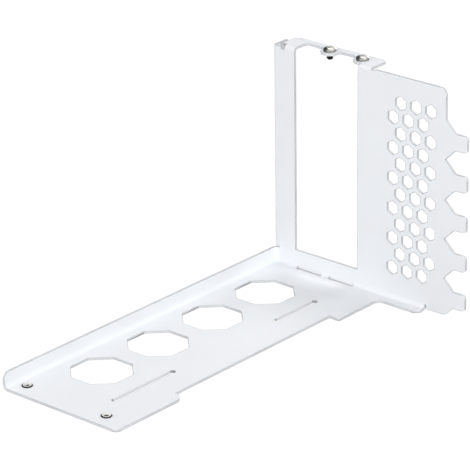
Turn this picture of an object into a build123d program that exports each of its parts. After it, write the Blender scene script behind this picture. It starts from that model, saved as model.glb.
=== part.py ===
"""Vertical graphics card bracket: one folded steel sheet, two card screws and two clinch nuts.

Lengths are millimetres. While it is modelled, X runs along the wall from the tray's left edge, Y is 0 on
the wall's front face and grows to the back, and Z is 0 under the tray. At export everything moves so that
the origin is the middle of the bracket's footprint, on the surface that it stands on.
"""

import os

from build123d import *

# Sheet and bends
THICKNESS = 1.2
FLOOR_BEND = 2.0        # inner radius of the bends along the tray's left and back edges
TOP_BEND = 1.2          # inner radius of the top flange's bend
RETURN_BEND = 0.6       # inner radius of the bend of the post's return
RELIEF_WIDTH = 1.0      # slit that keeps two neighbouring bends apart
FOOT_RELIEF = 0.5       # slit between the right lip's end and the wall's foot

# Tray
TRAY_LENGTH = 193.95    # front edge to the wall's front face
TRAY_WIDTH = 65.4       # along the recess of the right edge
LIP_HEIGHT = 8.8        # left lip, from the underside
LIP_CORNER = 4.5
FRONT_TAB_REACH = 5.85  # tabs beyond the recess
FRONT_TAB_LENGTH = 46.0
BACK_TAB_REACH = 6.15
BACK_TAB_LENGTH = 36.5  # measured from the wall
TRAY_CORNER = 3.0
FRONT_TAB_CORNER = 5.8
BACK_TAB_CORNER = 1.5
RIGHT_LIP_INSET = 11.1  # right end of the bent back edge to the wall's right edge
RIGHT_LIP_DEPTH = 6.2
RIGHT_LIP_CORNER = 3.5

# Eight-sided cut-outs in the tray
OCTAGON_COUNT = 4
OCTAGON_WIDTH = 28.75   # across flats
OCTAGON_PITCH = 39.1
OCTAGON_X = 22.7
OCTAGON_FIRST_Y = -34.3

# Long slots, each with a round hole at both ends
SLOT_X = 49.0
SLOT_SPANS = ((-171.0, -131.7), (-55.7, -28.0))
SLOT_WIDTH = 2.4
SLOT_END_HOLE = 3.0

# Clinch nuts in the front of the tray
NUT_LEFT_X = 7.4
NUT_PITCH = 49.9
NUT_FROM_FRONT = 8.45
NUT_DIAMETER = 5.3
NUT_HEIGHT = 0.6
NUT_SHANK_DIAMETER = 4.0
NUT_BORE = 2.5          # tapping size of an M3 thread
NUT_CHAMFER = 0.2
NUT_SHANK_RECESS = 0.1  # the shank ends this far above the underside

# Standard pitch of expansion slots: tongues, screws and card slots all repeat at it
CARD_PITCH = 20.32

# Wall
WALL_HEIGHT = 116.8     # right-hand panel, from the tray's underside
WALL_WIDTH = 106.6
WALL_CORNER = 4.0
WALL_FOOT = 0.9         # lower edge right of the tray, from the tray's underside
FOOT_CORNER = 3.0
POST_WIDTH = 13.85
WINDOW_WIDTH = 39.45
WINDOW_SILL = 10.3
RETURN_DEPTH = 10.0     # post's return flange, behind the wall's front face
RETURN_STEP = 0.9       # post and return end this far below the wall's top

# Tongues on the wall's right edge
TONGUE_COUNT = 5
TONGUE_REACH = 12.8     # tips beyond the wall's edge
TONGUE_SET_BACK = 0.25  # roots inside the wall's edge
TONGUE_FIRST_Z = 9.92   # centre of the lowest tongue, from the tray's underside
TONGUE_WIDTH = 8.5
TONGUE_CORNER = 2.0
TONGUE_ARM_CORNER = 3.0

# Hexagonal vents
VENT_ROWS = 12
VENT_COLUMNS = 3
VENT_WIDTH = 6.4        # across flats
VENT_PITCH = 9.02
VENT_TO_EDGE = 27.1     # first vent of the top row to the wall's edge
VENT_RISE = 1.34        # middle of the rows above the middle of the wall

# Slots for the card plates' tongues, in front of the wall's foot
CARD_SLOT_COUNT = 2
CARD_SLOT_INSET = 9.55  # centre of the left one from the window's edge
CARD_SLOT_LENGTH = 15.4
CARD_SLOT_WIDTH = 1.8
CARD_SLOT_Y = -1.2

# Top flange
FLANGE_RISE = 0.15      # above the wall's top
FLANGE_LEFT = 4.4
FLANGE_OVERLAP = 7.8    # along the wall beyond the window
FLANGE_DEPTH = 13.45    # from the wall's front face
FLANGE_CORNER = 2.5
STRIP_DEPTH = 4.15      # flange behind the window
STRIP_CORNER = 2.0
LOBE_RADIUS = 4.65
LOBE_BLEND = 1.5
FLANGE_BEND_LEFT = 7.2  # the bend starts here; the flange reaches further left behind it
LEFT_NOTCH = (2.1, 2.45)    # width and depth of the reliefs at both ends of the flange's bend
RIGHT_NOTCH = (2.8, 0.95)
NOTCH_CLEARANCE = 0.2   # flange's left end to the bend's tangent line

# Card screws
SCREW_INSET = 16.3     # left screw from the window's edge
SCREW_FROM_BACK = 6.15  # from the flange's back edge
SCREW_HEAD_DIAMETER = 6.5
SCREW_HEAD_HEIGHT = 2.1
SCREW_HEAD_RIM = 0.9
SCREW_DIAMETER = 3.5
SCREW_LENGTH = 4.1
SCREW_CHAMFER = 0.4
SCREW_CLEARANCE = 0.05  # radial, round the shank
RECESS_SPAN = 3.4
RECESS_WIDTH = 0.9
RECESS_DEPTH = 0.9

TONGUE_TIP = WALL_WIDTH + TONGUE_REACH
TONGUE_ROOT = WALL_WIDTH - TONGUE_SET_BACK
FRONT_TAB_WIDTH = TRAY_WIDTH + FRONT_TAB_REACH
BACK_TAB_WIDTH = TRAY_WIDTH + BACK_TAB_REACH
RIGHT_LIP_END = WALL_WIDTH - RIGHT_LIP_INSET
TONGUE_TOP_Z = TONGUE_FIRST_Z + (TONGUE_COUNT - 1) * CARD_PITCH
RETURN_HEIGHT = WALL_HEIGHT - RETURN_STEP
VENT_LEFT_X = WALL_WIDTH - VENT_TO_EDGE
VENT_ROW_PITCH = VENT_PITCH * 3**0.5 / 2
VENT_TOP_Z = (WALL_FOOT + WALL_HEIGHT + (VENT_ROWS - 1) * VENT_ROW_PITCH) / 2 + VENT_RISE
FLANGE_TOP = WALL_HEIGHT + FLANGE_RISE
OUTER_FLOOR_BEND = FLOOR_BEND + THICKNESS
OUTER_TOP_BEND = TOP_BEND + THICKNESS
OUTER_RETURN_BEND = RETURN_BEND + THICKNESS
WINDOW_RIGHT = POST_WIDTH + WINDOW_WIDTH
CARD_SLOT_LEFT_X = POST_WIDTH + CARD_SLOT_INSET
SCREW_LEFT_X = POST_WIDTH + SCREW_INSET
SCREW_Y = FLANGE_DEPTH - SCREW_FROM_BACK
FLANGE_RIGHT = WINDOW_RIGHT + FLANGE_OVERLAP
TOP_BEND_LINE = FLANGE_TOP - OUTER_TOP_BEND
STRIP_FRONT = FLANGE_DEPTH - STRIP_DEPTH
NUT_Y = NUT_FROM_FRONT - TRAY_LENGTH

SIDES = ("left", "right")
NUT_XS = [NUT_LEFT_X + k * NUT_PITCH for k in range(len(SIDES))]
SCREW_XS = [SCREW_LEFT_X + k * CARD_PITCH for k in range(len(SIDES))]

WALL_FACE = Plane(origin=(0, 0, 0), x_dir=(1, 0, 0), z_dir=(0, -1, 0))
SIDE_FACE = Plane(origin=(0, 0, 0), x_dir=(0, 1, 0), z_dir=(1, 0, 0))


def rounded_face(*corners):
    """Closed face through corners given as (x, y, radius)."""
    points = [(x, y) for x, y, _ in corners]
    radii = [radius for _, _, radius in corners]
    return make_face(FilletPolyline(*points, radius=radii, close=True))


def wall_sheet(face):
    """Sheet metal of the wall's thickness from a face drawn in X and Z."""
    return extrude(WALL_FACE * face, amount=-THICKNESS)


def tray_outline():
    """The tray seen from above: front tab, recess, back tab and the right lip's foot."""
    recess_front = FRONT_TAB_LENGTH - TRAY_LENGTH
    recess_back = -BACK_TAB_LENGTH
    return rounded_face(
        (0, THICKNESS, 0),
        (0, -TRAY_LENGTH, 0),
        (FRONT_TAB_WIDTH, -TRAY_LENGTH, TRAY_CORNER),
        (FRONT_TAB_WIDTH, recess_front, FRONT_TAB_CORNER),
        (TRAY_WIDTH, recess_front, 0),
        (TRAY_WIDTH, recess_back, 0),
        (BACK_TAB_WIDTH, recess_back, BACK_TAB_CORNER),
        (BACK_TAB_WIDTH, -RIGHT_LIP_DEPTH, RIGHT_LIP_CORNER),
        (RIGHT_LIP_END, -RIGHT_LIP_DEPTH, RIGHT_LIP_CORNER),
        (RIGHT_LIP_END, THICKNESS, 0),
    )


def lip_outline():
    """The tray seen from its left side, in Y and Z: the lip's front corner is rounded."""
    return rounded_face(
        (THICKNESS, 0, 0),
        (THICKNESS, LIP_HEIGHT, 0),
        (-TRAY_LENGTH, LIP_HEIGHT, LIP_CORNER),
        (-TRAY_LENGTH, 0, 0),
    )


def bent_corner(offset):
    """Block whose rounded left, back and corner edges are the tray's bends, grown outwards by offset."""
    block = Pos(THICKNESS - offset, offset, THICKNESS - offset) * Box(
        RIGHT_LIP_END + TRAY_LENGTH,
        2 * TRAY_LENGTH,
        2 * LIP_HEIGHT + OUTER_FLOOR_BEND,
        align=(Align.MIN, Align.MAX, Align.MIN),
    )
    left = block.faces().sort_by(Axis.X)[0].edges()
    back = block.faces().sort_by(Axis.Y)[-1].edges()
    floor = block.faces().sort_by(Axis.Z)[0].edges()
    bends = [edge for edge in block.edges() if sum(edge in side for side in (left, back, floor)) > 1]
    return fillet(bends, radius=FLOOR_BEND + offset)


def tray():
    """Tray with its left lip and the bends that lead up into the wall."""
    shell = bent_corner(THICKNESS) - bent_corner(0)
    seen_from_above = extrude(tray_outline(), amount=LIP_HEIGHT)
    seen_from_left = extrude(SIDE_FACE * lip_outline(), amount=RIGHT_LIP_END)
    return shell & seen_from_above & seen_from_left


def post_and_sill():
    """Flat part of the wall round the card window, up to the top bend."""
    lip_top = LIP_HEIGHT + RELIEF_WIDTH
    outline = rounded_face(
        (OUTER_FLOOR_BEND, OUTER_FLOOR_BEND, 0),
        (WINDOW_RIGHT, OUTER_FLOOR_BEND, 0),
        (WINDOW_RIGHT, WINDOW_SILL, 0),
        (POST_WIDTH, WINDOW_SILL, 0),
        (POST_WIDTH, TOP_BEND_LINE, 0),
        (FLANGE_BEND_LEFT, TOP_BEND_LINE, 0),
        (FLANGE_BEND_LEFT, RETURN_HEIGHT, 0),
        (OUTER_RETURN_BEND, RETURN_HEIGHT, 0),
        (OUTER_RETURN_BEND, lip_top, 0),
        (OUTER_FLOOR_BEND, lip_top, 0),
    )
    return wall_sheet(outline)


def vent_panel():
    """Right-hand part of the wall with its rounded top corner, its foot and its tongues."""
    half_pitch = CARD_PITCH / 2
    half_width = TONGUE_WIDTH / 2
    arm = half_pitch - half_width
    foot_x = TONGUE_ROOT + WALL_FOOT - (TONGUE_FIRST_Z - half_pitch)
    corners = [
        (WINDOW_RIGHT, OUTER_FLOOR_BEND, 0),
        (RIGHT_LIP_END, OUTER_FLOOR_BEND, 0),
        (RIGHT_LIP_END + FOOT_RELIEF, OUTER_FLOOR_BEND, 0),
        (RIGHT_LIP_END + FOOT_RELIEF, WALL_FOOT, 0),
        (foot_x, WALL_FOOT, FOOT_CORNER),
    ]
    for k in reversed(range(TONGUE_COUNT)):
        z = TONGUE_TOP_Z - k * CARD_PITCH
        corners += [
            (TONGUE_ROOT + arm, z - half_width, TONGUE_ARM_CORNER),
            (TONGUE_TIP, z - half_width, TONGUE_CORNER),
            (TONGUE_TIP, z + half_width, TONGUE_CORNER),
            (TONGUE_ROOT + arm, z + half_width, TONGUE_ARM_CORNER),
        ]
        if k > 0:
            corners.append((TONGUE_ROOT, z + half_pitch, 0))
    shoulder_z = TONGUE_TOP_Z + half_pitch - (WALL_WIDTH - TONGUE_ROOT)
    corners += [
        (WALL_WIDTH, shoulder_z, 0),
        (WALL_WIDTH, WALL_HEIGHT, WALL_CORNER),
        (FLANGE_RIGHT, WALL_HEIGHT, 0),
        (FLANGE_RIGHT, TOP_BEND_LINE, 0),
        (WINDOW_RIGHT, TOP_BEND_LINE, 0),
    ]
    return wall_sheet(rounded_face(*corners))


def bend_profile(radius):
    """Quarter bend with its outside at 0, that leads from one flat sheet to another at a right angle to it."""
    outside = radius + THICKNESS
    quarter = Circle(outside) - Circle(radius)
    return quarter & Rectangle(outside, outside, align=(Align.MAX, Align.MAX))


def post_return():
    """Flange that runs back from the post's left edge and stiffens it."""
    bottom = LIP_HEIGHT + RELIEF_WIDTH
    bend = Pos(OUTER_RETURN_BEND, OUTER_RETURN_BEND) * bend_profile(RETURN_BEND)
    web = Pos(0, OUTER_RETURN_BEND) * Rectangle(
        THICKNESS, RETURN_DEPTH - OUTER_RETURN_BEND, align=(Align.MIN, Align.MIN)
    )
    return Pos(0, 0, bottom) * extrude(bend + web, amount=RETURN_HEIGHT - bottom)


def flange_outline():
    """The top flange seen from above, with the window's cut-out and the lobes round the screws."""
    behind_bend = OUTER_TOP_BEND + NOTCH_CLEARANCE
    outline = rounded_face(
        (FLANGE_BEND_LEFT, 0, 0),
        (POST_WIDTH, 0, 0),
        (POST_WIDTH, STRIP_FRONT, STRIP_CORNER),
        (WINDOW_RIGHT, STRIP_FRONT, 0),
        (WINDOW_RIGHT, 0, 0),
        (FLANGE_RIGHT, 0, 0),
        (FLANGE_RIGHT, FLANGE_DEPTH, FLANGE_CORNER),
        (FLANGE_LEFT, FLANGE_DEPTH, FLANGE_CORNER),
        (FLANGE_LEFT, behind_bend, 0),
        (FLANGE_BEND_LEFT, behind_bend, 0),
    )
    for x in SCREW_XS:
        outline += Pos(x, SCREW_Y) * Circle(LOBE_RADIUS)
    creases = [
        vertex
        for vertex in outline.vertices()
        if abs(vertex.Y - STRIP_FRONT) < LOBE_RADIUS / 10
        and min(abs(vertex.X - x) for x in SCREW_XS) < LOBE_RADIUS
        and vertex.X < WINDOW_RIGHT
    ]
    return fillet(creases, radius=LOBE_BLEND)


def top_flange():
    """Flange bent back from the top of the wall."""
    bend = Pos(OUTER_TOP_BEND, TOP_BEND_LINE) * bend_profile(TOP_BEND).mirror(Plane.XZ)
    shelf = Pos(OUTER_TOP_BEND, FLANGE_TOP) * Rectangle(
        FLANGE_DEPTH, THICKNESS, align=(Align.MIN, Align.MAX)
    )
    ribbon = extrude(SIDE_FACE * (bend + shelf), amount=WALL_WIDTH)
    seen_from_above = Pos(0, 0, TOP_BEND_LINE) * extrude(flange_outline(), amount=WALL_HEIGHT)
    return ribbon & seen_from_above


def top_reliefs():
    """Notches in the wall at both ends of the top flange's bend."""
    notches = Sketch()
    for start, side, (width, depth) in (
        (FLANGE_BEND_LEFT, Align.MAX, LEFT_NOTCH),
        (FLANGE_RIGHT, Align.MIN, RIGHT_NOTCH),
    ):
        floor = Pos(start, FLANGE_TOP - depth)
        notches += floor * Rectangle(width, WALL_HEIGHT, align=(side, Align.MIN))
    return extrude(WALL_FACE * notches, amount=-THICKNESS)


def vents():
    """Staggered rows of hexagonal vents: each row stands half a pitch beside the one above it."""
    cells = Sketch()
    for row in range(VENT_ROWS):
        shift = VENT_PITCH / 2 * (row % 2)
        for column in range(VENT_COLUMNS):
            x = VENT_LEFT_X + column * VENT_PITCH - shift
            z = VENT_TOP_Z - row * VENT_ROW_PITCH
            cells += Pos(x, z) * RegularPolygon(
                VENT_WIDTH / 2, 6, major_radius=False, rotation=30
            )
    return extrude(WALL_FACE * cells, amount=-THICKNESS)


def tray_cutouts():
    """Octagons, long slots, card slots and nut holes, cut straight down through the tray."""
    cuts = Sketch()
    for k in range(OCTAGON_COUNT):
        cuts += Pos(OCTAGON_X, OCTAGON_FIRST_Y - k * OCTAGON_PITCH) * RegularPolygon(
            OCTAGON_WIDTH / 2, 8, major_radius=False, rotation=22.5
        )
    for front, back in SLOT_SPANS:
        cuts += Pos(SLOT_X, (front + back) / 2) * Rectangle(SLOT_WIDTH, back - front)
        for y in (front, back):
            cuts += Pos(SLOT_X, y) * Circle(SLOT_END_HOLE / 2)
    for k in range(CARD_SLOT_COUNT):
        cuts += Pos(CARD_SLOT_LEFT_X + k * CARD_PITCH, CARD_SLOT_Y) * Rectangle(
            CARD_SLOT_LENGTH, CARD_SLOT_WIDTH
        )
    for x in NUT_XS:
        cuts += Pos(x, NUT_Y) * Circle(NUT_SHANK_DIAMETER / 2)
    return extrude(cuts, amount=OUTER_FLOOR_BEND)


def screw_holes():
    """Holes in the top flange for the card screws."""
    holes = Sketch()
    for x in SCREW_XS:
        holes += Pos(x, SCREW_Y) * Circle(SCREW_DIAMETER / 2 + SCREW_CLEARANCE)
    return Pos(0, 0, FLANGE_TOP - THICKNESS) * extrude(holes, amount=THICKNESS)


def bracket_sheet():
    """The whole folded sheet."""
    folded = tray() + post_and_sill() + vent_panel() + post_return() + top_flange()
    return folded - top_reliefs() - vents() - tray_cutouts() - screw_holes()


def card_screw(x):
    """Pan-head screw with a cross recess, seated on the top flange."""
    radius = SCREW_HEAD_DIAMETER / 2
    shank = SCREW_DIAMETER / 2
    outline = Line((0, -SCREW_LENGTH), (shank - SCREW_CHAMFER, -SCREW_LENGTH))
    outline += Line((shank - SCREW_CHAMFER, -SCREW_LENGTH), (shank, SCREW_CHAMFER - SCREW_LENGTH))
    outline += Line((shank, SCREW_CHAMFER - SCREW_LENGTH), (shank, 0))
    outline += Line((shank, 0), (radius, 0))
    outline += Line((radius, 0), (radius, SCREW_HEAD_RIM))
    outline += RadiusArc(
        (radius, SCREW_HEAD_RIM),
        (0, SCREW_HEAD_HEIGHT),
        -dome_radius(radius, SCREW_HEAD_HEIGHT - SCREW_HEAD_RIM),
    )
    outline += Line((0, SCREW_HEAD_HEIGHT), (0, -SCREW_LENGTH))
    body = revolve(Plane.XZ * make_face(outline), axis=Axis.Z)
    cross = Rectangle(RECESS_SPAN, RECESS_WIDTH) + Rectangle(RECESS_WIDTH, RECESS_SPAN)
    recess = Pos(0, 0, SCREW_HEAD_HEIGHT - RECESS_DEPTH) * extrude(cross, amount=SCREW_HEAD_HEIGHT)
    return Pos(x, SCREW_Y, FLANGE_TOP) * (body - recess)


def dome_radius(half_width, height):
    """Radius of the arc that rises by height over half_width."""
    return (half_width**2 + height**2) / (2 * height)


def clinch_nut(x):
    """Round nut pressed into the tray from above, with its shank just short of the underside."""
    head = Pos(0, 0, THICKNESS) * Cylinder(
        NUT_DIAMETER / 2, NUT_HEIGHT, align=(Align.CENTER, Align.CENTER, Align.MIN)
    )
    head = chamfer(head.edges().sort_by(Axis.Z)[-1], length=NUT_CHAMFER)
    shank = Pos(0, 0, NUT_SHANK_RECESS) * Cylinder(
        NUT_SHANK_DIAMETER / 2,
        THICKNESS - NUT_SHANK_RECESS,
        align=(Align.CENTER, Align.CENTER, Align.MIN),
    )
    bore = Cylinder(NUT_BORE / 2, 2 * (THICKNESS + NUT_HEIGHT))
    return Pos(x, NUT_Y, 0) * (head + shank - bore)


def main():
    nodes = {"bracket_sheet": bracket_sheet()}
    for side, screw_x, nut_x in zip(SIDES, SCREW_XS, NUT_XS):
        nodes[f"card_screw_{side}"] = card_screw(screw_x)
        nodes[f"clinch_nut_{side}"] = clinch_nut(nut_x)
    middle = Pos(-TONGUE_TIP / 2, (TRAY_LENGTH - FLANGE_DEPTH) / 2, 0)
    os.makedirs("parts", exist_ok=True)
    for name, solid in nodes.items():
        export_step(middle * solid, f"parts/{name}.step")


main()
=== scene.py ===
"""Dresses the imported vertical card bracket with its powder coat, screws and nuts, in a pale studio."""

import math

import bmesh
import bpy
import numpy as np
from bpy.props import FloatProperty, FloatVectorProperty, IntProperty, PointerProperty, StringProperty
from mathutils import Matrix, Vector


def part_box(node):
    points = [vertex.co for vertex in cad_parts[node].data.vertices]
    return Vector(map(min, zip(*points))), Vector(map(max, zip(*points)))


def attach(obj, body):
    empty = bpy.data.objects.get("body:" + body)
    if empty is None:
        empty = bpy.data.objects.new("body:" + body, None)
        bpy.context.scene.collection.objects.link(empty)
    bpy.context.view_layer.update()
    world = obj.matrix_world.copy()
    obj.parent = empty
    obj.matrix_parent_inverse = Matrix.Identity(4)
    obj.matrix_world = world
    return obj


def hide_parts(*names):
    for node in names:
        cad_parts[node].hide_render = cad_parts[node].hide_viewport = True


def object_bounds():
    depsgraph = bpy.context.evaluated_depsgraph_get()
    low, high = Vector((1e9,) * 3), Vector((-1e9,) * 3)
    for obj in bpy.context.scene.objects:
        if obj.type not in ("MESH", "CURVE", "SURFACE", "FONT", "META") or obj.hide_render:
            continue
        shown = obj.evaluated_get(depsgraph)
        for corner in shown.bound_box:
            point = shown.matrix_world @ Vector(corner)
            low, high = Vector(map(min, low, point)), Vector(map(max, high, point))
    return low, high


bl_info = {
    "name": "Vertical Card Bracket",
    "version": (1, 0, 0),
    "blender": (4, 5, 0),
    "location": "View3D > Sidebar > Card Bracket",
    "description": "Finishes a folded card bracket and lights it in a pale studio",
    "category": "Object",
}

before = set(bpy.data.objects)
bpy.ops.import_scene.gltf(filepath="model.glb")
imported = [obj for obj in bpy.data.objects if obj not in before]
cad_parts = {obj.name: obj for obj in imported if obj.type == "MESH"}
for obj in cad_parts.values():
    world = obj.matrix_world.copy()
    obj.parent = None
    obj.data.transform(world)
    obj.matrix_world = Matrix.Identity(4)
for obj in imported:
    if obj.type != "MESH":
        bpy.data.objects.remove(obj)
CAD_LOW, CAD_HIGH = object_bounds()
MM = 0.001
BODY = "root"
SIDES = ("left", "right")
SHEET_NODE = "bracket_sheet"
SCREW_NODES = [f"card_screw_{side}" for side in SIDES]
NUT_NODES = [f"clinch_nut_{side}" for side in SIDES]


def node_width(node):
    """Width of a CAD node, in metres."""
    low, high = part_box(node)
    return high.x - low.x


# Colours and shader nodes

def linear(hex_colour):
    """Linear RGBA of an sRGB hex value: the low end is a straight line, the rest a power of 2.4."""
    value = hex_colour.lstrip("#")
    channels = np.array([int(value[i:i + 2], 16) for i in (0, 2, 4)]) / 255
    curve = np.where(channels <= 0.04045, channels / 12.92, ((channels + 0.055) / 1.055) ** 2.4)
    return (*curve.tolist(), 1.0)


def add_node(tree, kind, settings=None, **links):
    """Adds a node with its settings and input values or links.

    An input is named with _ for spaces, or by i and its number where names repeat.
    """
    node = tree.nodes.new(kind)
    for name, value in (settings or {}).items():
        setattr(node, name, value)
    for name, value in links.items():
        key = int(name[1:]) if name[1:].isdigit() else name.replace("_", " ")
        socket = node.inputs[key]
        if isinstance(value, bpy.types.NodeSocket):
            tree.links.new(value, socket)
        else:
            socket.default_value = value
    return node


def new_material(name):
    """Empty node material with its output node."""
    material = bpy.data.materials.new(name)
    material.use_nodes = True
    tree = material.node_tree
    tree.nodes.clear()
    return material, tree, add_node(tree, "ShaderNodeOutputMaterial")


# Cosines of the turn from a face's own normal to the rounded one: where the painted edge shade starts, and
# where it is darkest
EDGE_SHADE_STARTS = 0.965
EDGE_SHADE_DARKEST = 0.88
ROUGHNESS_SPREAD = 0.06
PEEL_HEIGHT = 0.02 * MM
GRIT_HEIGHT = 0.01 * MM


def powder_coat(name, finish, colour, edge_shade_colour=None):
    """Epoxy powder coat, sprayed dry and baked on steel.

    The melt levels out into a faint orange peel about a millimetre across, over a finer grit. It is a
    satin, slightly uneven plastic skin. The grit is drawn at 0.35 mm, coarser than the real 0.1 mm, so
    that it shows. The rounded normal rounds the sharp edges off, and a dark line of painted shade is laid
    along them where the rounded normal turns away from the face's own. Without an edge colour the coat is
    even right up to its edges, with no painted edge shade.
    """
    material, tree, output = new_material(name)
    rounded = add_node(tree, "ShaderNodeBevel", {"samples": 8}, Radius=finish.edge_round).outputs["Normal"]
    place = add_node(tree, "ShaderNodeTexCoord").outputs["Object"]
    peel = add_node(tree, "ShaderNodeTexNoise", Vector=place, Scale=1 / finish.peel_size, Detail=1.0)
    grit = add_node(tree, "ShaderNodeTexNoise", Vector=place, Scale=1 / finish.grit_size, Detail=2.0)
    cloud = add_node(tree, "ShaderNodeTexNoise", Vector=place, Scale=1 / finish.cloud_size, Detail=2.0)
    rough = add_node(
        tree, "ShaderNodeMapRange", Value=grit.outputs["Fac"],
        To_Min=finish.roughness - ROUGHNESS_SPREAD, To_Max=finish.roughness + ROUGHNESS_SPREAD,
    )
    coat = add_node(
        tree, "ShaderNodeMix", {"data_type": "RGBA"}, i0=cloud.outputs["Fac"],
        i6=linear(colour), i7=linear(finish.thin_colour),
    ).outputs[2]
    # A dark line of painted shade along the sharp edges, where the rounded normal turns away from the face's
    # own
    if edge_shade_colour is not None:
        flat = add_node(tree, "ShaderNodeNewGeometry").outputs["Normal"]
        turn = add_node(tree, "ShaderNodeVectorMath", {"operation": "DOT_PRODUCT"}, i0=rounded, i1=flat)
        thin = add_node(
            tree, "ShaderNodeMapRange", {"interpolation_type": "SMOOTHSTEP"}, Value=turn.outputs["Value"],
            From_Min=EDGE_SHADE_STARTS, From_Max=EDGE_SHADE_DARKEST,
        )
        coat = add_node(
            tree, "ShaderNodeMix", {"data_type": "RGBA"}, i0=thin.outputs["Result"],
            i6=coat, i7=linear(edge_shade_colour),
        ).outputs[2]
    coarse = add_node(
        tree, "ShaderNodeBump", Strength=finish.peel_strength, Distance=PEEL_HEIGHT,
        Height=peel.outputs["Fac"], Normal=rounded,
    )
    fine = add_node(
        tree, "ShaderNodeBump", Strength=finish.grit_strength, Distance=GRIT_HEIGHT,
        Height=grit.outputs["Fac"], Normal=coarse.outputs["Normal"],
    )
    skin = add_node(
        tree, "ShaderNodeBsdfPrincipled", Base_Color=coat, Roughness=rough.outputs["Result"],
        IOR=1.5, Normal=fine.outputs["Normal"],
    )
    tree.links.new(skin.outputs["BSDF"], output.inputs["Surface"])
    return material


MARK_SPACING = 0.15 * MM
MARK_HEIGHT = 0.01 * MM
MOTTLE_SIZE = 0.6 * MM
MOTTLE = 0.12
DULLER = 0.25


def turned_metal(name, sizes, roughness):
    """Steel that was cold-formed and turned, then plated with zinc or lightly oiled.

    The attribute read here paints light and shade into the colour: a painted highlight on the crests and
    painted shade in the recess, the threads and under the rim, with the roughness duller where it is shaded.
    Fine turning marks run round the piece, 0.15 mm apart.
    """
    material, tree, output = new_material(name)
    # This attribute carries painted light: 1 for a painted highlight, 0 for painted shade
    polish = add_node(tree, "ShaderNodeAttribute", {"attribute_name": "polish"}).outputs["Fac"]
    turns = add_node(tree, "ShaderNodeAttribute", {"attribute_name": "turns"}).outputs["Fac"]
    place = add_node(tree, "ShaderNodeTexCoord").outputs["Object"]
    mottle = add_node(tree, "ShaderNodeTexNoise", Vector=place, Scale=1 / MOTTLE_SIZE, Detail=3.0)
    marks = add_node(tree, "ShaderNodeMath", {"operation": "SINE"}, i0=turns)
    wear_and_sheen = add_node(tree, "ShaderNodeMapRange", Value=mottle.outputs["Fac"], To_Min=-MOTTLE, To_Max=MOTTLE)
    mask = add_node(
        tree, "ShaderNodeMath", {"operation": "ADD", "use_clamp": True}, i0=polish, i1=wear_and_sheen.outputs["Result"]
    )
    colour = add_node(
        tree, "ShaderNodeMix", {"data_type": "RGBA"}, i0=mask.outputs["Value"],
        i6=linear(sizes.dark), i7=linear(sizes.bright),
    )
    rough = add_node(
        tree, "ShaderNodeMapRange", Value=mask.outputs["Value"], To_Min=roughness + DULLER, To_Max=roughness
    )
    bump = add_node(
        tree, "ShaderNodeBump", Strength=0.25, Distance=MARK_HEIGHT, Height=marks.outputs["Value"]
    )
    metal = add_node(
        tree, "ShaderNodeBsdfPrincipled", Base_Color=colour.outputs[2], Metallic=1.0,
        Roughness=rough.outputs["Result"], Normal=bump.outputs["Normal"],
    )
    tree.links.new(metal.outputs["BSDF"], output.inputs["Surface"])
    return material


# Meshes

LATHE_MERGE = 0.0005 * MM
LATHE_SHARP = math.radians(40)


def show(name, vertices, faces, attributes=None):
    """New object with its place in its mesh, from whole arrays of vertices and quads."""
    mesh = bpy.data.meshes.new(name)
    mesh.from_pydata(vertices.tolist(), [], faces.tolist())
    for label, values in (attributes or {}).items():
        layer = mesh.attributes.new(label, "FLOAT", "POINT")
        layer.data.foreach_set("value", values.astype(np.float32))
    mesh.validate()
    mesh.shade_smooth()
    piece = bpy.data.objects.new(name, mesh)
    bpy.context.scene.collection.objects.link(piece)
    return piece


def lathe(angles, *parts):
    """Surface of revolution with the attributes that turned_metal reads.

    A part is its radius, height and painted light, each on a grid of rows by angles or spread over one, and
    the parts follow each other along the profile. The painted light is the share of highlight against shade
    that turned_metal paints into the colour. The point at row i and column j is (radius[i, j] cos a[j],
    radius[i, j] sin a[j], height[i, j]), and a row of radius 0 closes the surface on the axis. The
    attribute turns is the radius over the spacing of the turning marks, as an angle.
    """
    grids = [np.broadcast_arrays(*part, angles[None])[:3] for part in parts]
    radius, height, polish = (np.concatenate(rows) for rows in zip(*grids))
    rows, columns = radius.shape
    vertices = np.stack([radius * np.cos(angles), radius * np.sin(angles), height], axis=-1).reshape(-1, 3)
    i, j = np.meshgrid(np.arange(rows - 1), np.arange(columns), indexing="ij")
    k = (j + 1) % columns
    faces = np.stack(
        [i * columns + j, (i + 1) * columns + j, (i + 1) * columns + k, i * columns + k], axis=-1
    ).reshape(-1, 4)
    turns = radius / MARK_SPACING * 2 * math.pi
    return vertices, faces, {"polish": polish.ravel(), "turns": turns.ravel()}


def fasten(name, node, surface, place, metal):
    """Puts a lathe surface at its place on the bracket, in place of its CAD node.

    Doubles are merged, flat faces dropped and all faces turned outwards.
    """
    vertices, faces, attributes = surface
    piece = show(name, vertices + np.array(place), faces, attributes)
    work = bmesh.new()
    work.from_mesh(piece.data)
    bmesh.ops.remove_doubles(work, verts=work.verts, dist=LATHE_MERGE)
    bmesh.ops.dissolve_degenerate(work, edges=work.edges, dist=LATHE_MERGE)
    bmesh.ops.recalc_face_normals(work, faces=work.faces)
    work.to_mesh(piece.data)
    work.free()
    piece.data.set_sharp_from_angle(angle=LATHE_SHARP)
    piece.data.materials.append(metal)
    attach(piece, BODY)
    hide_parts(node)


def triangle_wave(turns):
    """0 at whole turns, 1 half-way between them, with straight flanks."""
    return 1 - np.abs(2 * (turns % 1) - 1)


def thread_wave(height, pitch, angles):
    """Depth of a right-hand thread from crest 0 to root 1: a triangle wave of height / pitch - turn."""
    return triangle_wave(height / pitch - angles / (2 * math.pi))


def smooth_step(value, low, high):
    """0 up to low, 1 past high and a smooth cubic between them. It runs downwards if low is the larger."""
    t = np.clip((value - low) / (high - low), 0, 1)
    return t * t * (3 - 2 * t)


# Sizes, finishes and light that a user would change

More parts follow.
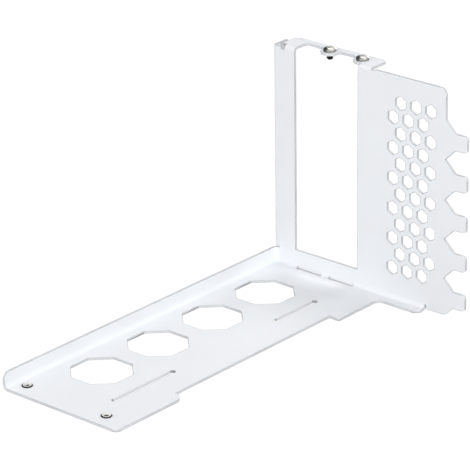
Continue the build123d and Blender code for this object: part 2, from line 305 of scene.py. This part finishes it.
class SheetFinish(bpy.types.PropertyGroup):
    """Colours and texture of the sheet's powder coat"""

    coat_colour: StringProperty(name="Coat", description="Powder coat, as sRGB hex", default="#EDF0F4")
    thin_colour: StringProperty(
        name="Thin coat", description="Where the coat is a little thinner, as sRGB hex", default="#E9EBEE"
    )
    # The cut-face colour is the coat darkened as painted shade on the punched faces; the slot walls keep the
    # plain coat without it
    cut_face_shade_colour: StringProperty(
        name="Cut faces", description="Coat on the rough punched faces, as sRGB hex", default="#C0C2C5"
    )
    # The edge colour is painted shade: a dark line laid along every sharp edge
    edge_shade_colour: StringProperty(
        name="Edges", description="Coat drawn thin over the sharp edges, as sRGB hex", default="#484A4C"
    )
    # The small-hole colour is painted shade: the slot's ends are painted dark for the shadow seen through its
    # round holes
    hole_shade_colour: StringProperty(
        name="Small holes", description="Holes that the powder hardly reached, as sRGB hex", default="#26282A"
    )
    roughness: FloatProperty(name="Roughness", description="Satin of the coat", default=0.6, subtype="FACTOR")
    peel_size: FloatProperty(
        name="Orange peel", description="Width of the coat's ripples", default=1.1 * MM, unit="LENGTH"
    )
    peel_strength: FloatProperty(
        name="Peel strength", description="Depth of the ripples", default=0.25, subtype="FACTOR"
    )
    grit_size: FloatProperty(
        name="Grit", description="Width of the coat's grain", default=0.35 * MM, unit="LENGTH"
    )
    grit_strength: FloatProperty(
        name="Grit strength", description="Depth of the grain", default=0.15, subtype="FACTOR"
    )
    cloud_size: FloatProperty(
        name="Unevenness", description="Width of the coat's thin places", default=25 * MM, unit="LENGTH"
    )
    edge_round: FloatProperty(
        name="Edge rounding", description="Radius that the coat gives to edges",
        default=0.55 * MM, unit="LENGTH",
    )


class ScrewSizes(bpy.types.PropertyGroup):
    """Sizes and colours of the card screws"""

    head: FloatProperty(
        name="Head", description="Diameter of the head", default=node_width(SCREW_NODES[0]), unit="LENGTH"
    )
    rise: FloatProperty(name="Head height", description="Flange to crown", default=2.1 * MM, unit="LENGTH")
    rim: FloatProperty(name="Rim", description="Height of the head's side", default=0.9 * MM, unit="LENGTH")
    shank: FloatProperty(
        name="Shank", description="Diameter over the thread", default=3.5 * MM, unit="LENGTH"
    )
    pitch: FloatProperty(name="Pitch", description="Thread pitch", default=0.794 * MM, unit="LENGTH")
    thread: FloatProperty(name="Thread depth", description="Crest to root", default=0.42 * MM, unit="LENGTH")
    recess_span: FloatProperty(
        name="Recess", description="Span of the cross", default=3.4 * MM, unit="LENGTH"
    )
    recess_width: FloatProperty(
        name="Slot width", description="Width of the cross's arms", default=0.9 * MM, unit="LENGTH"
    )
    recess_depth: FloatProperty(
        name="Depth", description="Depth of the cross", default=1.3 * MM, unit="LENGTH"
    )
    # Bright and dark are the one zinc plate painted lit and painted in shade, for the crown's painted
    # highlight and the shade in the recess and threads
    bright: StringProperty(name="Polished plate", description="Crown, as sRGB hex", default="#CCCAC5")
    dark: StringProperty(name="Dull plate", description="Recess and threads, as sRGB hex", default="#1C1B19")


class NutSizes(bpy.types.PropertyGroup):
    """Sizes and colours of the clinch nuts"""

    head: FloatProperty(
        name="Head", description="Diameter of the head", default=node_width(NUT_NODES[0]), unit="LENGTH"
    )
    rise: FloatProperty(name="Head height", description="Above the tray", default=0.6 * MM, unit="LENGTH")
    shank: FloatProperty(
        name="Shank", description="Diameter of the part in the tray", default=4.0 * MM, unit="LENGTH"
    )
    bore: FloatProperty(
        name="Bore", description="Diameter between the thread's crests", default=2.5 * MM, unit="LENGTH"
    )
    pitch: FloatProperty(name="Pitch", description="Thread pitch", default=0.5 * MM, unit="LENGTH")
    thread: FloatProperty(name="Thread depth", description="Crest to root", default=0.27 * MM, unit="LENGTH")
    knurls: IntProperty(name="Knurls", description="Teeth round the head", default=28)
    knurl: FloatProperty(
        name="Knurl depth", description="Depth of the teeth", default=0.18 * MM, unit="LENGTH"
    )
    # Bright and dark are the one steel painted lit and painted in shade, for the top face's painted highlight
    # and the shade on the knurl and in the bore
    bright: StringProperty(name="Faced steel", description="Top face, as sRGB hex", default="#E4E3DF")
    dark: StringProperty(name="Dull steel", description="Knurl and bore, as sRGB hex", default="#2A2929")


class StudioLight(bpy.types.PropertyGroup):
    """Camera, powers of the soft lamps and light of the surroundings"""

    lens: FloatProperty(
        name="Lens", description="Focal length on a 36 mm frame", default=235.39, unit="CAMERA"
    )
    place: FloatVectorProperty(
        name="Camera", description="Camera's place", default=(0.862043, -0.997297, 0.608234), subtype="XYZ"
    )
    turn: FloatVectorProperty(
        name="Aim", description="Azimuth, elevation and roll, in degrees", default=(41.0752, 22.6006, -0.7473)
    )
    sky: FloatProperty(name="Sky", description="Even light from all round", default=0.02, subtype="FACTOR")
    side: FloatProperty(name="Side", description="Lamp on the right", default=13.6, unit="POWER")
    front: FloatProperty(name="Front", description="Lamp in front", default=10.8, unit="POWER")
    fill: FloatProperty(name="Fill", description="Lamp on the left", default=5.9, unit="POWER")
    top: FloatProperty(name="Top", description="Lamp overhead", default=2.3, unit="POWER")
    back: FloatProperty(name="Back", description="Small lamp behind the wall", default=6.4, unit="POWER")
    rear: FloatProperty(name="Rear", description="Small lamp behind the post", default=2.4, unit="POWER")
    low_rear: FloatProperty(
        name="Low rear", description="Low lamp that lights the wall's back", default=8.0, unit="POWER"
    )


# Folded sheet

# Order of the sheet's materials
BROAD_SIDE, CUT_FACE, SLOT_WALL, SMALL_HOLE = range(4)
SHEET_MERGE = 0.002 * MM
SHEET_SHARP = math.radians(32)
# Runs of faces end at folds sharper than this
RUN_FOLD = math.radians(40)
# Least and largest width of a slot, its least length, and the least length of one with end holes
SLOT_WIDTHS = (1.5 * MM, 4 * MM)
SHORTEST_SLOT = 14 * MM
SHORTEST_LONG_SLOT = 20 * MM
# How much of a long slot's wall is painted dark at each end, as painted shade, so that both holes show as
# small dots
FRONT_HOLE = 2 * MM
BACK_HOLE = 1.3 * MM


class PowderCoatedSheet(bpy.types.Operator):
    """Gives the folded sheet its coat, on a merged copy of the CAD sheet"""

    bl_idname = "bracket.powder_coated_sheet"
    bl_label = "Powder-coated sheet"

    def execute(self, context):
        finish = context.scene.bracket_sheet_finish
        work = bmesh.new()
        work.from_mesh(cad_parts[SHEET_NODE].data)
        bmesh.ops.remove_doubles(work, verts=work.verts, dist=SHEET_MERGE)
        bmesh.ops.dissolve_degenerate(work, edges=work.edges, dist=SHEET_MERGE)
        sort_faces(work)
        mesh = bpy.data.meshes.new("powder_coated_sheet")
        work.to_mesh(mesh)
        work.free()
        mesh.shade_smooth()
        mesh.set_sharp_from_angle(angle=SHEET_SHARP)
        # Broad sides with painted edge shade, punched faces in painted shade, slot walls in the plain coat,
        # and the small holes painted dark as shade
        for material in (
            powder_coat("satin_powder_coat", finish, finish.coat_colour, finish.edge_shade_colour),
            powder_coat("powder_coat_on_cut_faces", finish, finish.cut_face_shade_colour),
            powder_coat("powder_pooled_in_slots", finish, finish.coat_colour),
            powder_coat("thin_powder_in_small_holes", finish, finish.hole_shade_colour),
        ):
            mesh.materials.append(material)
        piece = bpy.data.objects.new("powder_coated_sheet", mesh)
        context.scene.collection.objects.link(piece)
        weighted = piece.modifiers.new("even_faces", "WEIGHTED_NORMAL")
        weighted.mode = "FACE_AREA_WITH_ANGLE"
        weighted.keep_sharp = True
        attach(piece, BODY)
        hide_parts(SHEET_NODE)
        return {"FINISHED"}


def face_runs(work):
    """Lists of faces that are joined by gentle folds, the largest area first."""
    work.faces.ensure_lookup_table()
    runs = []
    done = set()
    for start in work.faces:
        if start.index in done:
            continue
        done.add(start.index)
        run = [start]
        for face in run:
            smooth = [edge for edge in face.edges if edge.calc_face_angle(math.pi) < RUN_FOLD]
            for other in (other for edge in smooth for other in edge.link_faces):
                if other.index not in done:
                    done.add(other.index)
                    run.append(other)
        runs.append(run)
    return sorted(runs, key=lambda run: -sum(face.calc_area() for face in run))


def sort_faces(work):
    """Sets each face's material: broad side, punched face, wall of a slot, or end hole of a long slot.

    The two largest runs are the sheet's broad sides; the other runs are punched faces, which get the greyer
    coat of painted shade. A run that is narrow and long enough is a slot's wall and keeps the plain coat, and
    the ends of a long slot's wall along the tray lie in its round holes and are painted dark, as painted
    shade seen through the holes.
    """
    for order, run in enumerate(face_runs(work)):
        corners = np.array([vertex.co for face in run for vertex in face.verts])
        low, high = corners.min(axis=0), corners.max(axis=0)
        width, length = np.sort(high - low)[1:]
        kind = BROAD_SIDE if order < 2 else CUT_FACE
        if kind == CUT_FACE and SLOT_WIDTHS[0] < width < SLOT_WIDTHS[1] and length > SHORTEST_SLOT:
            kind = SLOT_WALL
        for face in run:
            y = face.calc_center_median().y
            at_end = y - low[1] < FRONT_HOLE or high[1] - y < BACK_HOLE
            in_hole = kind == SLOT_WALL and length > SHORTEST_LONG_SLOT and at_end
            face.material_index = SMALL_HOLE if in_hole else kind


# Card screws

SCREW_COLUMNS = 240
CROWN_RINGS = 66
SHOULDER_RINGS = 14
THREAD_RINGS = 70
CROWN_POWER = 2.6
RECESS_WALL = 0.24 * MM
# Share of the recess's depth that is lost from the middle to the rim
RECESS_SLOPE = 0.35
POINT_LENGTH = 0.5 * MM
POINT_DEPTH = 0.35 * MM
# Side of the head that gets the painted highlight, as an angle round the axis
SCREW_LIT_ANGLE = math.radians(-5)


class CardScrews(bpy.types.Operator):
    """Makes the two pan-head screws with their cross recess and thread"""

    bl_idname = "bracket.card_screws"
    bl_label = "Card screws"

    def execute(self, context):
        sizes = context.scene.bracket_screw_sizes
        metal = turned_metal("zinc_plated_screw", sizes, 0.22)
        for side, node in zip(SIDES, SCREW_NODES):
            low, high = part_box(node)
            middle = (low + high) / 2
            seat = high.z - head_height(sizes)
            surface = screw_surface(sizes, seat - low.z)
            place = (middle.x, middle.y, seat)
            fasten(f"pan_head_screw_{side}", node, surface, place, metal)
        return {"FINISHED"}


def head_height(sizes):
    """Height of the CAD head above its seat: the cross recess cuts the top of its dome away.

    The highest points left are the inner corners of the cross, half an arm's width from the axis both ways.
    """
    reach = sizes.head / 2
    rise = sizes.rise - sizes.rim
    radius = (reach**2 + rise**2) / (2 * rise)
    arm = sizes.recess_width / 2
    return sizes.rise - radius + math.sqrt(radius**2 - 2 * arm**2)


def screw_surface(sizes, length):
    """One closed skin from the crown, over the rim and down the thread to the tip.

    The crown stands rise - rim above the side, times the square root of 1 - (r / R) to the power 2.6: a
    nearly flat top with a round shoulder. It is lowered by the recess depth inside a cross whose walls
    lean outwards. The shank's radius falls from the crest by the thread depth times a triangle wave of
    z / pitch - angle. The head has a painted highlight on the side of the lit angle, and painted shade on
    its far side, in the recess, under the rim and down the thread.
    """
    angles = np.linspace(0, 2 * math.pi, SCREW_COLUMNS, endpoint=False)
    rubbed = smooth_step(np.cos(angles - SCREW_LIT_ANGLE), -0.2, 0.7)
    reach = sizes.head / 2
    crest = sizes.shank / 2

    share = np.concatenate(
        [[0], np.linspace(0.02, 0.62, CROWN_RINGS), np.sin(np.linspace(0.72, 1.52, SHOULDER_RINGS))]
    )[:, None]
    crown_z = sizes.rim + (head_height(sizes) - sizes.rim) * np.sqrt(1 - share**CROWN_POWER)
    x, y = np.abs(share * reach * np.cos(angles)), np.abs(share * reach * np.sin(angles))
    half_arm, half_span = sizes.recess_width / 2, sizes.recess_span / 2
    inside = 1 - smooth_step(np.minimum(x, y), half_arm - RECESS_WALL, half_arm)
    inside *= 1 - smooth_step(np.maximum(x, y), half_span - 2 * RECESS_WALL, half_span)
    sink = sizes.recess_depth * inside * (1 - RECESS_SLOPE * share)
    # The crown's painted highlight reaches this share of its reach, which is larger on the lit side
    start = 0.40 + 0.30 * rubbed
    shoulder = smooth_step(share, start, start + 0.14)
    # Painted shade darkens the recess and the shoulder, least on the lit side
    crown = (share * reach, crown_z - sink, (1 - 0.7 * inside) * (1 - shoulder * (1 - 0.5 * rubbed)))

    # Share of the reach, share of the rim and painted light of each ring down the side and under the head,
    # from painted highlight at 1 to painted shade at 0
    side_r, side_z, side_light = np.array(
        [(1.0, 1.0, 0.1), (1.0, 0.85, 0.6), (1.0, 0.12, 0.7), (0.985, 0, 0.2), (0.6, 0, 0.0)]
    ).T[..., None]
    side = (side_r * reach, side_z * sizes.rim, side_light * (0.25 + 0.75 * rubbed))

    down = np.linspace(0, length, THREAD_RINGS)[:, None]
    wave = thread_wave(-down, sizes.pitch, angles)
    fade = smooth_step(down, 0, 0.8 * sizes.pitch)
    point = smooth_step(down, length - POINT_LENGTH, length) * POINT_DEPTH
    # Painted shade darkens the thread, most in its roots
    thread = (crest - sizes.thread * wave * fade - point, -down, 0.08 * (1 - wave))

    tip = (np.array([[0.6], [0.0]]) * crest, -length, 0.0)
    return lathe(angles, crown, side, thread, tip)


# Clinch nuts

NUT_COLUMNS = 168
BORE_RINGS = 40
BORE_CHAMFER = 0.24 * MM
BORE_END = 0.02 * MM
# Depths down the bore at which the painted shade is full and at which it ends
LIT_DEPTH = (1.0 * MM, 0.5 * MM)
# Side of the chamfer that gets the painted highlight, as an angle round the axis
NUT_LIT_ANGLE = math.radians(125)


class ClinchNuts(bpy.types.Operator):
    """Makes the two round clinch nuts with their knurled head and threaded bore"""

    bl_idname = "bracket.clinch_nuts"
    bl_label = "Clinch nuts"

    def execute(self, context):
        sizes = context.scene.bracket_nut_sizes
        metal = turned_metal("turned_steel_nut", sizes, 0.28)
        for side, node in zip(SIDES, NUT_NODES):
            low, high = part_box(node)
            middle = (low + high) / 2
            surface = nut_surface(sizes, high.z - low.z)
            place = (middle.x, middle.y, low.z)
            fasten(f"clinch_nut_body_{side}", node, surface, place, metal)
        return {"FINISHED"}


def nut_surface(sizes, total):
    """One closed ring: down the knurled side, under the head, down the shank and up the threaded bore.

    The head's radius falls by the knurl depth times a triangle wave of the angle. The bore's radius grows
    from the crest by the thread depth times a triangle wave of z / pitch - angle. The top face and the
    chamfer on the side of the lit angle carry a painted highlight, and painted shade darkens the knurled
    side, the underside and the bore below its top, most in the thread's roots.
    """
    angles = np.linspace(0, 2 * math.pi, NUT_COLUMNS, endpoint=False)
    teeth = triangle_wave(sizes.knurls * angles / (2 * math.pi))
    wear_and_sheen = smooth_step(np.cos(angles - NUT_LIT_ANGLE), 0.1, 0.8)
    head = sizes.head / 2
    bore = sizes.bore / 2
    shank = sizes.shank / 2
    seat = total - sizes.rise

    # Radius, height, share of the knurl and painted light of each ring, from painted highlight at 1 to
    # painted shade at 0
    rings = [
        (bore + BORE_CHAMFER, total, 0, 1.0),
        (head * 0.72, total, 0, 1.0),
        (head * 0.82, total - 0.02 * MM, 0, wear_and_sheen),
        (head * 0.93, total - 0.10 * MM, 0, wear_and_sheen),
        (head * 0.985, total - 0.18 * MM, 0.4, 0.7 * wear_and_sheen),
        (head, total - 0.26 * MM, 1, 0.0),
        (head, seat + 0.08 * MM, 1, 0.0),
        (head * 0.99, seat, 1, 0.0),
        (shank, seat, 0, 0.0),
        (shank, 0, 0, 0.1),
        (bore + 0.3 * MM, 0, 0, 0.1),
    ]
    outer = [
        (np.array([r - sizes.knurl * share * teeth]), z, polish) for r, z, share, polish in rings
    ]

    up = np.linspace(BORE_END, total - BORE_END, BORE_RINGS)[:, None]
    wave = thread_wave(up, sizes.pitch, angles)
    lit = smooth_step(total - up, *LIT_DEPTH)
    inner = (bore + sizes.thread * wave, up, lit * (1 - 0.4 * wave))
    return lathe(angles, *outer, inner, outer[0])


# Studio

# Name, direction from the bracket and width in metres of each soft lamp
LAMPS = (
    ("side", (0.9, -0.25, 0.35), 1.0),
    ("front", (0.1, -0.9, 0.4), 1.0),
    ("fill", (-0.7, -0.6, 0.4), 1.0),
    ("top", (0.0, 0.0, 1.0), 1.0),
    ("back", (0.36, 0.45, 1.0), 0.5),
    ("rear", (-0.4, 0.5, 0.8), 0.5),
    ("low_rear", (-0.2, 1.0, 0.2), 0.6),
)
LAMP_DISTANCE = 1.5
FLOOR_REACH = 6.0
FLOOR_DROP = 0.02 * MM
FLOOR_GLOW = 1.12
FLOOR_GLOW_SHARE = 0.86


def background_rays(tree):
    """1 for the rays that show the background: from the camera, mirrored, or through glass."""
    path = add_node(tree, "ShaderNodeLightPath")
    seen = add_node(
        tree, "ShaderNodeMath", {"operation": "MAXIMUM"},
        i0=path.outputs["Is Camera Ray"], i1=path.outputs["Is Glossy Ray"],
    )
    through = add_node(
        tree, "ShaderNodeMath", {"operation": "MAXIMUM"},
        i0=seen.outputs["Value"], i1=path.outputs["Is Transmission Ray"],
    )
    return through.outputs["Value"]


class PaleStudio(bpy.types.Operator):
    """Makes the floor, the white surroundings, the soft lamps and the camera"""

    bl_idname = "bracket.pale_studio"
    bl_label = "Pale studio"

    def execute(self, context):
        light = context.scene.bracket_studio_light
        context.scene.view_settings.view_transform = "Standard"
        self.lay_floor()
        self.surround(context, light)
        for name, direction, width in LAMPS:
            self.hang_lamp(context, f"{name}_softbox", direction, width, getattr(light, name))
        self.set_camera(context, light)
        return {"FINISHED"}

    def lay_floor(self):
        """Matt white paper just under the bracket, which keeps the soft shadow and glows white where seen."""
        corners = np.array([(-1, -1, 0), (1, -1, 0), (1, 1, 0), (-1, 1, 0)]) * FLOOR_REACH
        corners[:, 2] = CAD_LOW.z - FLOOR_DROP
        floor = show("studio_floor", corners, np.array([(0, 1, 2, 3)]))
        material, tree, output = new_material("matt_white_paper")
        plain = add_node(tree, "ShaderNodeBsdfDiffuse", Color=linear("#C8C8C8"))
        glow = add_node(tree, "ShaderNodeEmission", Color=linear("#FFFFFF"), Strength=FLOOR_GLOW)
        share = add_node(
            tree, "ShaderNodeMath", {"operation": "MULTIPLY"}, i0=background_rays(tree), i1=FLOOR_GLOW_SHARE
        )
        mix = add_node(
            tree, "ShaderNodeMixShader", i0=share.outputs["Value"],
            i1=plain.outputs["BSDF"], i2=glow.outputs["Emission"],
        )
        tree.links.new(mix.outputs["Shader"], output.inputs["Surface"])
        floor.data.materials.append(material)

    def surround(self, context, light):
        """White surroundings that are seen and mirrored but give hardly any light."""
        world = bpy.data.worlds.new("white_surroundings")
        world.use_nodes = True
        tree = world.node_tree
        tree.nodes.clear()
        output = add_node(tree, "ShaderNodeOutputWorld")
        strength = add_node(
            tree, "ShaderNodeMapRange", Value=background_rays(tree), To_Min=light.sky, To_Max=1.0
        )
        sky = add_node(
            tree, "ShaderNodeBackground", Color=linear("#FFFFFF"), Strength=strength.outputs["Result"]
        )
        tree.links.new(sky.outputs["Background"], output.inputs["Surface"])
        context.scene.world = world

    def hang_lamp(self, context, name, direction, width, power):
        """A square lamp, turned to the middle of the bracket."""
        target = (CAD_LOW + CAD_HIGH) / 2
        data = bpy.data.lights.new(name, "AREA")
        data.shape = "SQUARE"
        data.size = width
        data.energy = power
        lamp = bpy.data.objects.new(name, data)
        lamp.location = target + LAMP_DISTANCE * Vector(direction).normalized()
        lamp.rotation_euler = (target - lamp.location).to_track_quat("-Z", "Y").to_euler()
        context.scene.collection.objects.link(lamp)

    def set_camera(self, context, light):
        """The photograph's camera, turned by its azimuth, then its elevation, then its roll."""
        azimuth, elevation, roll = (math.radians(value) for value in light.turn)
        ahead = Vector(
            (
                -math.sin(azimuth) * math.cos(elevation),
                math.cos(azimuth) * math.cos(elevation),
                -math.sin(elevation),
            )
        )
        level = Vector((math.cos(azimuth), math.sin(azimuth), 0))
        upright = level.cross(ahead)
        right = math.cos(roll) * level + math.sin(roll) * upright
        up = -math.sin(roll) * level + math.cos(roll) * upright
        data = bpy.data.cameras.new("photo_camera")
        data.lens = light.lens
        data.sensor_width = 36.0
        data.clip_start = 0.05
        data.clip_end = 50.0
        camera = bpy.data.objects.new("photo_camera", data)
        turn = Matrix((right, up, -ahead)).transposed().to_4x4()
        camera.matrix_world = Matrix.Translation(Vector(light.place)) @ turn
        context.scene.collection.objects.link(camera)
        context.scene.camera = camera


# Panel and registration

class BracketPanel(bpy.types.Panel):
    """Lists the sizes, finishes and light, and a button for each group of pieces"""

    bl_idname = "VIEW3D_PT_card_bracket"
    bl_label = "Card Bracket"
    bl_space_type = "VIEW_3D"
    bl_region_type = "UI"
    bl_category = "Card Bracket"

    def draw(self, context):
        for group in GROUPS:
            box = self.layout.box()
            owner = getattr(context.scene, group)
            for name in owner.__annotations__:
                box.prop(owner, name)
        for operator in PIECES:
            self.layout.operator(operator.bl_idname)


GROUPS = {
    "bracket_sheet_finish": SheetFinish,
    "bracket_screw_sizes": ScrewSizes,
    "bracket_nut_sizes": NutSizes,
    "bracket_studio_light": StudioLight,
}
PIECES = (PowderCoatedSheet, CardScrews, ClinchNuts, PaleStudio)


def register():
    for cls in (*GROUPS.values(), *PIECES, BracketPanel):
        bpy.utils.register_class(cls)
    for name, group in GROUPS.items():
        setattr(bpy.types.Scene, name, PointerProperty(type=group))


def unregister():
    for name in GROUPS:
        delattr(bpy.types.Scene, name)
    for cls in (BracketPanel, *reversed(PIECES), *reversed(list(GROUPS.values()))):
        bpy.utils.unregister_class(cls)


def main():
    register()
    bpy.ops.bracket.powder_coated_sheet()
    bpy.ops.bracket.card_screws()
    bpy.ops.bracket.clinch_nuts()
    bpy.ops.bracket.pale_studio()


if __name__ == "__main__":
    main()
